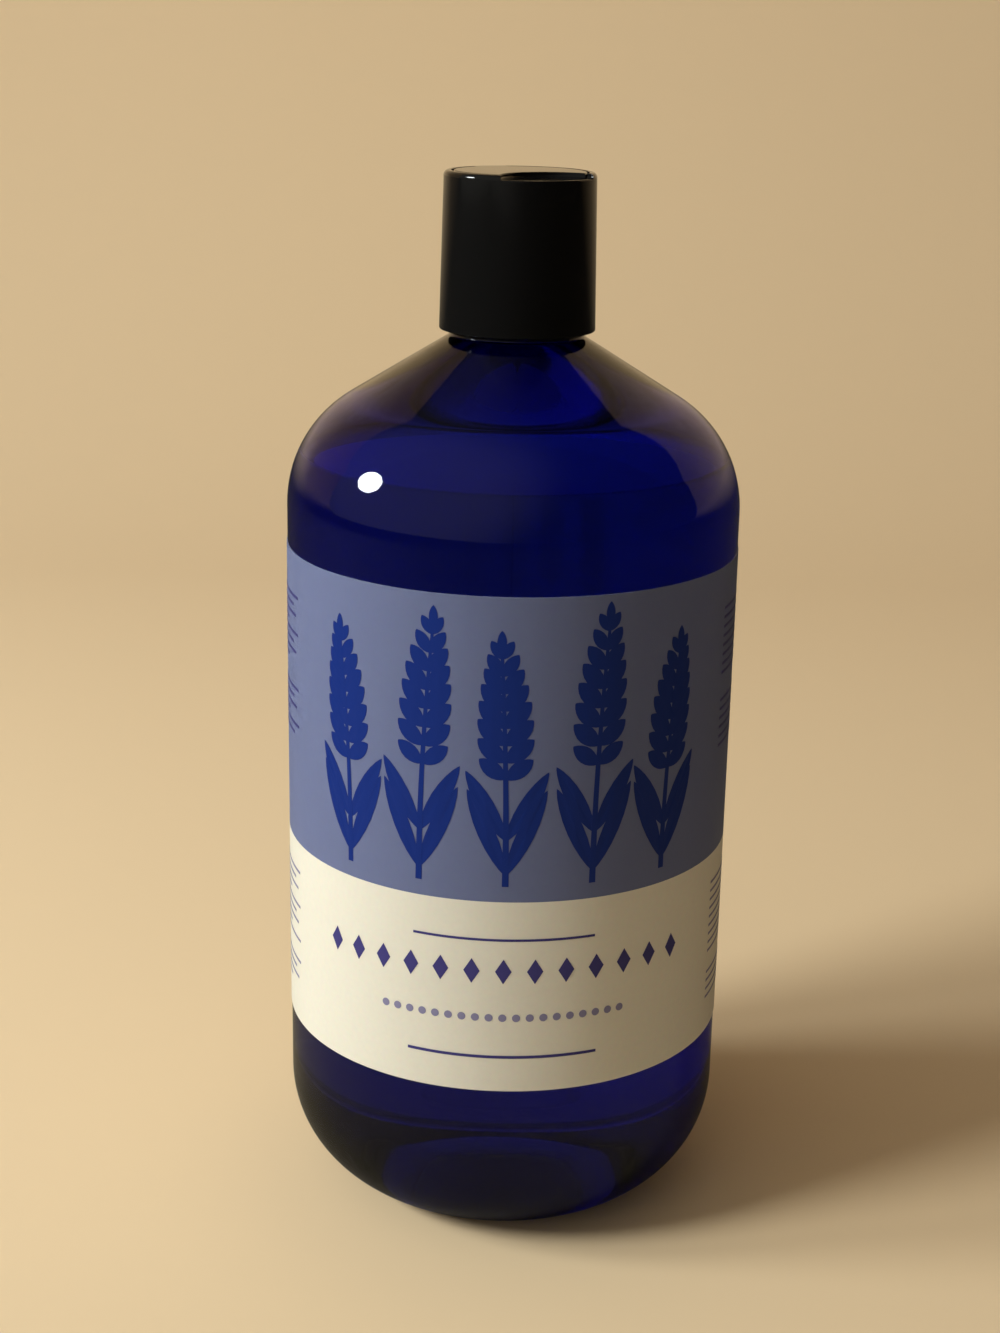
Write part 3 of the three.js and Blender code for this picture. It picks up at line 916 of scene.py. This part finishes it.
def lower_print(dark, light):
    """Lozenges, dots and rules on the label's lower field, and fine rules at both sides of both fields."""
    lozenges = Print()
    row(lozenges, y=65.0, length=74.0, count=13, half_wide=1.6, half_long=2.6)
    rule(lozenges, y=71.6, length=36.0, width=0.5)
    rule(lozenges, y=46.8, length=38.0, width=0.6)
    dots = Print()
    row(dots, y=55.2, length=48.0, count=19, half_wide=0.8, half_long=0.8)
    for x in (-SMALL_PRINT_PLACE, SMALL_PRINT_PLACE):
        small_print(lozenges, x, top=131.0, lines=8)
        small_print(lozenges, x, top=112.0, lines=6)
        small_print(dots, x, top=73.0, lines=9)
        small_print(dots, x, top=53.0, lines=4)
    return (
        lozenges.made("lozenge_print", dark, corners=4, point=0.0),
        dots.made("dot_print", light, corners=20, point=0.0),
    )


def bar(name, radius, low, high, edge=0.0, facets=BAR_FACETS):
    """A round bar along Z, its ends rounded if an edge is given."""
    points = [(0, low), (radius, low), (radius, high), (0, high)]
    return turned(name, rounded(points, edge) if edge else points, facets=facets)


def block(name, low, high, edge=0.0):
    """A block between two corners, its edges rounded if an edge is given."""
    made = bmesh.new()
    bmesh.ops.create_cube(made, size=1.0)
    size = (Vector(high) - Vector(low)) * MM
    middle = (Vector(high) + Vector(low)) / 2 * MM
    stretch = Matrix.Translation(middle) @ Matrix.Diagonal((*size, 1))
    bmesh.ops.transform(made, matrix=stretch, verts=made.verts)
    if edge:
        bmesh.ops.bevel(made, geom=made.edges[:], offset=edge * MM, segments=4, profile=0.5, affect="EDGES")
    return mesh_piece(name, made)


def moved(piece, x=0.0, y=0.0, z=0.0):
    """The piece with its mesh moved."""
    piece.data.transform(Matrix.Translation(Vector((x, y, z)) * MM))
    return piece


def joined(piece, tool, operation="UNION"):
    """The piece with a tool shape added to it, cut from it or kept in common."""
    change = piece.modifiers.new(tool.name, "BOOLEAN")
    change.operation = operation
    change.object = tool
    change.solver = "EXACT"
    settle(piece)
    bpy.data.objects.remove(tool)
    clean = bmesh.new()
    clean.from_mesh(piece.data)
    bmesh.ops.remove_doubles(clean, verts=clean.verts, dist=WELD)
    bmesh.ops.dissolve_degenerate(clean, edges=clean.edges, dist=WELD)
    clean.to_mesh(piece.data)
    clean.free()
    return piece


def cut(piece, *tools):
    """Cuts tool shapes from the piece, one after another."""
    for tool in tools:
        joined(piece, tool, "DIFFERENCE")


def cap_form():
    """The cap's outer form, solid."""
    points = [(0, 0), (CAP_RADIUS, 0), *top_round(CAP_TOP_RADIUS, CAP_EDGE), (0, CAP_HEIGHT)]
    return turned("cap_form", points, facets=CAP_FACETS)


def thumb_pocket():
    """Shallow round pocket at the rim for the thumb, with a rounded foot and a flared lip."""
    flare_reach = THUMB_RADIUS + THUMB_FLARE
    fillet_centre = (THUMB_RADIUS - THUMB_FILLET, THUMB_FLOOR + THUMB_FILLET)
    points = [(0, THUMB_FLOOR)]
    points += arc(fillet_centre, THUMB_FILLET, -math.pi / 2, 0)
    points += arc((flare_reach, CAP_HEIGHT - THUMB_FLARE), THUMB_FLARE, math.pi, THUMB_FLARE_END)
    points += [(flare_reach + OVERLAP, CAP_HEIGHT + OVERLAP), (0, CAP_HEIGHT + OVERLAP)]
    return moved(turned("thumb_pocket", points, facets=POCKET_FACETS), y=-CAP_TOP_RADIUS)


def pocket_lip():
    """What rounds the skirt's edge along the pocket."""
    inside = arc((CAP_TOP_RADIUS - THUMB_LIP, THUMB_FLOOR - THUMB_LIP), THUMB_LIP, *THUMB_LIP_ARC)
    outer = CAP_RADIUS + LIP_MARGIN
    top = THUMB_FLOOR + LIP_RISE
    points = [inside[-1], (outer, inside[-1][1]), (outer, top), (inside[0][0], top), *inside]
    ring = turned("pocket_lip", points, facets=CAP_FACETS)
    low, high = THUMB_FLOOR - COLUMN_REACH, THUMB_FLOOR + COLUMN_REACH
    column = bar("pocket_column", THUMB_RADIUS - THUMB_FILLET, low, high)
    return joined(ring, moved(column, y=-CAP_TOP_RADIUS), "INTERSECT")


def pivot_bars(name, radius, inner, outer, edge=0.0):
    """Round bars along X at the pivot, one each side."""
    pair = []
    for side in (-1, 1):
        one = bar(name, radius, inner, outer, edge, PIVOT_FACETS)
        one.data.transform(Matrix.Rotation(side * math.pi / 2, 4, "Y"))
        pair.append(moved(one, y=-PIVOT_OFFSET, z=PIVOT_HEIGHT))
    return pair


def stop_rib():
    """Curved rib on the deck under the thumb side, which the disc meets just past its limit."""
    arm = STOP_OUTER - PIVOT_OFFSET
    drop = PIVOT_HEIGHT - DISC_LOW
    top = PIVOT_HEIGHT - arm * math.sin(TILT_LIMIT) - drop * math.cos(TILT_LIMIT) - MECHANISM_GAP
    low = DECK_HIGH - OVERLAP
    section = ring_section(STOP_OUTER - STOP_WIDTH, STOP_OUTER, low, top, STOP_ROUND)
    reach = STOP_OUTER * math.sin(STOP_SPAN / 2)
    near = (-reach, -STOP_OUTER - STOP_MARGIN, low - STOP_MARGIN)
    span = block("rib_span", near, (reach, 0, top + STOP_MARGIN))
    return joined(turned("stop_rib", section, facets=STOP_FACETS), span, "INTERSECT")


def cap_place(piece):
    """From the cap's own frame to its place on the bottle."""
    lift = Matrix.Translation((0, 0, SKIRT_EDGE * MM))
    piece.data.transform(lift @ Matrix.Rotation(CAP_HEADING, 4, "Z"))
    return piece


def finished(piece, material):
    """Smooth shading that keeps flat faces flat, and one material."""
    piece.data.materials.clear()
    piece.data.materials.append(material)
    for face in piece.data.polygons:
        face.material_index = 0
    soften(piece)
    even = piece.modifiers.new("flat faces", "WEIGHTED_NORMAL")
    even.keep_sharp = True
    even.weight = FLAT_WEIGHT
    return settle(piece)


def cap_piece(material):
    """Skirt with its thread, deck with the orifice's riser and the stop rib, and the disc's chamber."""
    bore_top = (CAP_BORE, DECK_LOW - CAP_BORE_END)
    bore_foot = (CAP_BORE, CAP_BORE_END)
    taper = CAP_DRAFT / (CAP_HEIGHT - CAP_EDGE)
    skirt_foot = (CAP_RADIUS - CAP_BORE_END * taper, CAP_BORE_END)
    under = rounded([(0, DECK_LOW), (CAP_BORE, DECK_LOW), bore_top], DECK_ROUND)
    bore = straight(bore_top, bore_foot, THREAD_ROW)
    foot = rounded([bore_foot, (CAP_BORE, 0), (CAP_RADIUS, 0), skirt_foot], SKIRT_ROUND)
    edge = top_round(CAP_TOP_RADIUS, CAP_EDGE)
    chamber = [edge[-1], (CHAMBER_RADIUS, CAP_HEIGHT), (CHAMBER_RADIUS, DECK_HIGH), (0, DECK_HIGH)]
    ridge_drop = (THREAD_BASE + THREAD_TIP) / 2 + FLANK_CLEARANCE
    rise = SKIRT_EDGE + CAP_THREAD_LOW + ridge_drop - THREAD_LOW
    shell = turned(
        "cap_shell",
        under + bore[1:] + foot[1:] + edge + rounded(chamber, RIM_ROUND)[1:],
        facets=CAP_FACETS,
        threaded=(CAP_BORE, CAP_THREAD_END, DECK_LOW - CAP_THREAD_END),
        side=-1,
        low=CAP_THREAD_LOW,
        turns=CAP_TURNS,
        start=rise / THREAD_PITCH * 2 * math.pi - CAP_HEADING,
    )
    riser_radius = ORIFICE_RADIUS + ORIFICE_WALL
    riser = bar("orifice_riser", riser_radius, DECK_HIGH - OVERLAP, ORIFICE_TOP, RISER_ROUND)
    seat = ORIFICE_RADIUS + SEAT_CHAMFER
    orifice_points = [
        (0, DECK_LOW - OVERLAP),
        (ORIFICE_RADIUS, DECK_LOW - OVERLAP),
        (ORIFICE_RADIUS, ORIFICE_TOP - SEAT_CHAMFER),
        (seat, ORIFICE_TOP),
        (seat, ORIFICE_TOP + OVERLAP),
        (0, ORIFICE_TOP + OVERLAP),
    ]
    orifice = turned("orifice", orifice_points, facets=BAR_FACETS)
    half = SPOUT_BORE / 2 + SPOUT_WALL + SPOUT_GAP
    notch = block(
        "spout_notch",
        (-half, ORIFICE_OFFSET + HOOD_RADIUS, SPOUT_LOW - SPOUT_GAP),
        (half, CAP_RADIUS + CAP_MARGIN, CAP_HEIGHT + CAP_MARGIN),
        NOTCH_ROUND,
    )
    socket_radius = TRUNNION_RADIUS + SOCKET_CLEARANCE
    sockets = pivot_bars("pivot_socket", socket_radius, SOCKET_START, PIVOT_END + SOCKET_CLEARANCE)
    joined(shell, moved(riser, y=ORIFICE_OFFSET))
    joined(shell, stop_rib())
    cut(shell, moved(orifice, y=ORIFICE_OFFSET), *sockets, notch, thumb_pocket(), pocket_lip())
    return cap_place(finished(shell, material))


def disc_piece(material):
    """Disc with its trunnions, its spout and hood below, and the plug that closes the orifice."""
    foot = rounded([(0, DISC_LOW), (DISC_RADIUS, DISC_LOW), (DISC_RADIUS, CAP_HEIGHT)], DISC_FOOT_ROUND)
    points = [*foot[:-1], *top_round(DISC_RADIUS, DISC_EDGE), (0, CAP_HEIGHT)]
    plate = turned("press_disc_plate", points, facets=CAP_FACETS)
    half = SPOUT_BORE / 2
    past_cap = CAP_RADIUS + CAP_MARGIN
    spout = block(
        "spout",
        (-half - SPOUT_WALL, ORIFICE_OFFSET, SPOUT_LOW),
        (half + SPOUT_WALL, past_cap, CAP_HEIGHT + CAP_MARGIN),
        SPOUT_ROUND,
    )
    joined(plate, joined(spout, cap_form(), "INTERSECT"))
    hood = bar("spout_hood", HOOD_RADIUS + SPOUT_WALL, SPOUT_LOW + HOOD_LIFT, DISC_LOW + OVERLAP, HOOD_ROUND)
    joined(plate, moved(hood, y=ORIFICE_OFFSET))
    root = DISC_RADIUS - TRUNNION_ROOT
    for trunnion in pivot_bars("trunnion", TRUNNION_RADIUS, root, PIVOT_END, TRUNNION_ROUND):
        joined(plate, trunnion)
    hollow = bar("hood_hollow", HOOD_RADIUS, SPOUT_LOW - OVERLAP, DISC_LOW)
    channel = block(
        "pouring_channel",
        (-half, ORIFICE_OFFSET, SPOUT_LOW + SPOUT_WALL),
        (half, past_cap, DISC_LOW - CHANNEL_DROP),
        CHANNEL_ROUND,
    )
    cut(plate, moved(hollow, y=ORIFICE_OFFSET), channel)
    tip = ORIFICE_TOP - PLUG_REACH
    plug_points = [
        (0, tip),
        (PLUG_TIP, tip),
        (PLUG_RADIUS, tip + PLUG_RADIUS - PLUG_TIP),
        (PLUG_RADIUS, DISC_LOW + OVERLAP),
        (0, DISC_LOW + OVERLAP),
    ]
    plug = turned("plug", rounded(plug_points, PLUG_ROUND), facets=BAR_FACETS)
    joined(plate, moved(plug, y=ORIFICE_OFFSET))
    cut(plate, thumb_pocket())
    return cap_place(finished(plate, material))


def seal_piece(material):
    """Foam ring between the bottle's lip and the cap's deck."""
    low = LIP + SEAT_GAP - SKIRT_EDGE
    section = ring_section(BORE_RADIUS - SEAL_OVERHANG, THREAD_RADIUS, low, low + SEAL_THICKNESS, SEAL_ROUND)
    return cap_place(finished(turned("foam_seal", section, facets=CAP_FACETS), material))


def pale_paper():
    """Warm paper. In the object's reflections, and seen through it, the floor carries painted shade: dark
    under the base, dimmer around it and dark further off. To the camera it fades into the horizon.
    """
    material, nodes, principled = shader("pale_paper", Roughness=0.9)
    place = nodes.here()
    x, y, z = (nodes.part(place, axis) for axis in "XYZ")

    # Painted shade on the floor, by distance from the axis, for reflections and views through the bottle
    # only
    reach = nodes.math("DIVIDE", nodes.length(nodes.vector(x, y)), FLOOR_REACH)
    mirrored = nodes.node("ShaderNodeValToRGB", {"Fac": reach}, "Color")
    ramp = mirrored.node.color_ramp
    ramp.interpolation = "EASE"
    while len(ramp.elements) < len(MIRRORED_FLOOR_SHADE):
        ramp.elements.new(1.0)
    for stop, (distance, colour) in zip(ramp.elements, MIRRORED_FLOOR_SHADE):
        stop.position = distance / FLOOR_REACH
        stop.color = colour
    floor = nodes.mapped(z, given=FLOOR_HEIGHTS)
    through = nodes.product(nodes.ray("Transmission"), THROUGH_SHARE)
    # Only the floor gets the painted shade, not the backdrop, and only in reflections and through the bottle
    dimming = nodes.product(floor, nodes.math("MAXIMUM", nodes.ray("Glossy"), through))
    nodes.fill(principled, {"Base Color": nodes.mix(dimming, PAPER, mirrored)})

    depth = nodes.math("MINIMUM", y, nodes.product(y, HORIZON_BEHIND))
    fading = nodes.mapped(nodes.length(nodes.vector(x, depth)), given=HORIZON_FADE, curve="SMOOTHSTEP")
    faded = nodes.product(fading, nodes.ray("Camera"))
    haze = nodes.node("ShaderNodeEmission", {"Color": HORIZON})
    surface = nodes.node("ShaderNodeMixShader", {"Fac": faded, 1: principled.outputs[0], 2: haze})
    nodes.fill(nodes.tree.nodes["Material Output"], {"Surface": surface})
    return material


def sky():
    """A soft glow from the front left, dimmed in mirrors as by black cards. The camera sees the horizon."""
    world = bpy.data.worlds.new("studio")
    bpy.context.scene.world = world
    world.use_nodes = True
    nodes = Nodes(world.node_tree)
    background = nodes.tree.nodes["Background"]
    around = nodes.node("ShaderNodeTexCoord", {}, "Generated")
    sockets = {0: around, 1: Vector(GLOW_FROM).normalized()}
    facing = nodes.node("ShaderNodeVectorMath", sockets, "Value", operation="DOT_PRODUCT")
    glow = nodes.mapped(facing, GLOW_FACING, GLOW_STRENGTH, "SMOOTHERSTEP")
    kept = nodes.math("MULTIPLY_ADD", nodes.ray("Glossy"), -GLOW_HIDDEN, 1.0)
    nodes.fill(background, {"Color": SKY, "Strength": nodes.product(glow, kept)})
    seen = nodes.node("ShaderNodeBackground", {"Color": HORIZON})
    sockets = {"Fac": nodes.ray("Camera"), 1: background.outputs[0], 2: seen}
    surface = nodes.node("ShaderNodeMixShader", sockets)
    nodes.fill(nodes.tree.nodes["World Output"], {"Surface": surface})


def paper_sweep():
    """A sheet of paper that lies below the object and rises in a bend behind it."""
    outline = [(SWEEP_FRONT, 0.0), (SWEEP_BEND, 0.0)]
    for i in range(1, SWEEP_TURNS + 1):
        angle = math.radians(90 / SWEEP_TURNS * i)
        reach, drop = SWEEP_BEND * math.sin(angle), SWEEP_BEND * math.cos(angle)
        outline.append((SWEEP_BEND + reach, SWEEP_BEND - drop))
    outline.append((2 * SWEEP_BEND, SWEEP_TOP))
    sheet = bmesh.new()
    sides = (-SWEEP_HALF_WIDTH, SWEEP_HALF_WIDTH)
    left, right = ([sheet.verts.new((x, y, z)) for y, z in outline] for x in sides)
    for i in range(len(outline) - 1):
        sheet.faces.new((left[i], right[i], right[i + 1], left[i + 1])).smooth = True
    backdrop = mesh_piece("backdrop", sheet)
    backdrop.data.materials.append(pale_paper())


def lamp(name, place, size, power, mirrored):
    """A round lamp aimed at the object. One that isn't mirrored leaves no highlight."""
    data = bpy.data.lights.new(name, "AREA")
    data.energy = power
    data.shape = "DISK"
    data.size = size
    data.color = LAMP_COLOUR
    data.spread = LAMP_SPREAD
    made = placed(name, data)
    made.location = place
    made.rotation_euler = (Vector(LAMP_AIM) - Vector(place)).to_track_quat("-Z", "Y").to_euler()
    made.visible_glossy = mirrored
    made.visible_transmission = False


def camera():
    """Camera at the photograph's place: distance, height, pitch, yaw and roll of the fitted view."""
    distance, height = 415.6, 240.3
    pitch, yaw, roll = 0.2984, -0.0049, 0.0201
    focal_pixels, frame_pixels, sensor = 2105.84, 1333.0, 36.0
    ahead = Vector((math.sin(yaw) * math.cos(pitch), math.cos(yaw) * math.cos(pitch), -math.sin(pitch)))
    level = Vector((math.cos(yaw), -math.sin(yaw), 0.0))
    up = level.cross(ahead)
    right = level * math.cos(roll) + up * math.sin(roll)
    top = up * math.cos(roll) - level * math.sin(roll)
    data = bpy.data.cameras.new("camera")
    data.sensor_width = sensor
    data.lens = focal_pixels / frame_pixels * sensor
    view = placed("camera", data)
    turn = Matrix((right, top, -ahead)).transposed().to_4x4()
    view.matrix_world = Matrix.Translation(Vector((0.0, -distance * MM, height * MM))) @ turn
    bpy.context.scene.camera = view


def hand_over(piece, body, slot, *nodes):
    """Says which body the piece rides on and which nodes it stands for. The slot, where its finish comes
    from, is not used.
    """
    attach(piece, body)
    if nodes:
        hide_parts(*nodes)


bpy.context.scene.view_settings.view_transform = "Standard"
sky()
paper_sweep()
lamp("window", place=(-1.15, -0.12, 0.7), size=0.32, power=3.3, mirrored=True)
lamp("daylight", place=(-1.03, -0.52, 0.78), size=0.4, power=5.8, mirrored=False)
camera()

bottle = bottle_piece(cobalt_plastic())
hand_over(bottle, "bottle", "cobalt_plastic", "bottle")
soap = soap_piece(clear_soap())
hand_over(soap, "bottle", "soap", "liquid_soap")
label = label_piece(label_film(), film_back())
hand_over(label, "bottle", "label_film", "label")
hand_over(upper_print(ink("cobalt_ink", COBALT_INK)), "bottle", "label_film")
for print_piece in lower_print(ink("indigo_ink", INDIGO_INK), ink("grey_ink", GREY_INK)):
    hand_over(print_piece, "bottle", "label_film")

black = black_plastic()
hand_over(cap_piece(black), "cap", "black_plastic", "cap_body")
hand_over(disc_piece(black), "disc", "black_plastic", "press_disc")
hand_over(seal_piece(seal_foam()), "seal", "seal_foam", "seal_ring")
